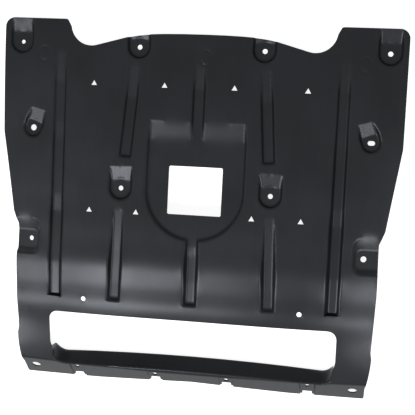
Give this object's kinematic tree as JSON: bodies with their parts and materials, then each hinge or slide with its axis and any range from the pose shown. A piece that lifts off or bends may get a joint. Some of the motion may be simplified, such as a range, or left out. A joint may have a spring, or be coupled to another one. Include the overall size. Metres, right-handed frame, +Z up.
{
  "type": "engine splash shield",
  "caption": "Moulded plastic engine splash shield with screw pads, stiffening grooves, a square service opening and a wide front slot over a turned-down front flange.",
  "frame": {"origin": "middle of the bounding box at floor level, as the shield lies with its road side up on its front flange and rear pads", "axes": "+X across the car to the right in the picture, +Y to the rear of the car, +Z up, away from the engine"},
  "size_m": [0.854, 0.7948, 0.0763],
  "materials": {
    "black_plastic": "satin black moulded polypropylene"
  },
  "bodies": {
    "root": {"splash_shield": "black_plastic"}
  },
  "joints": []
}
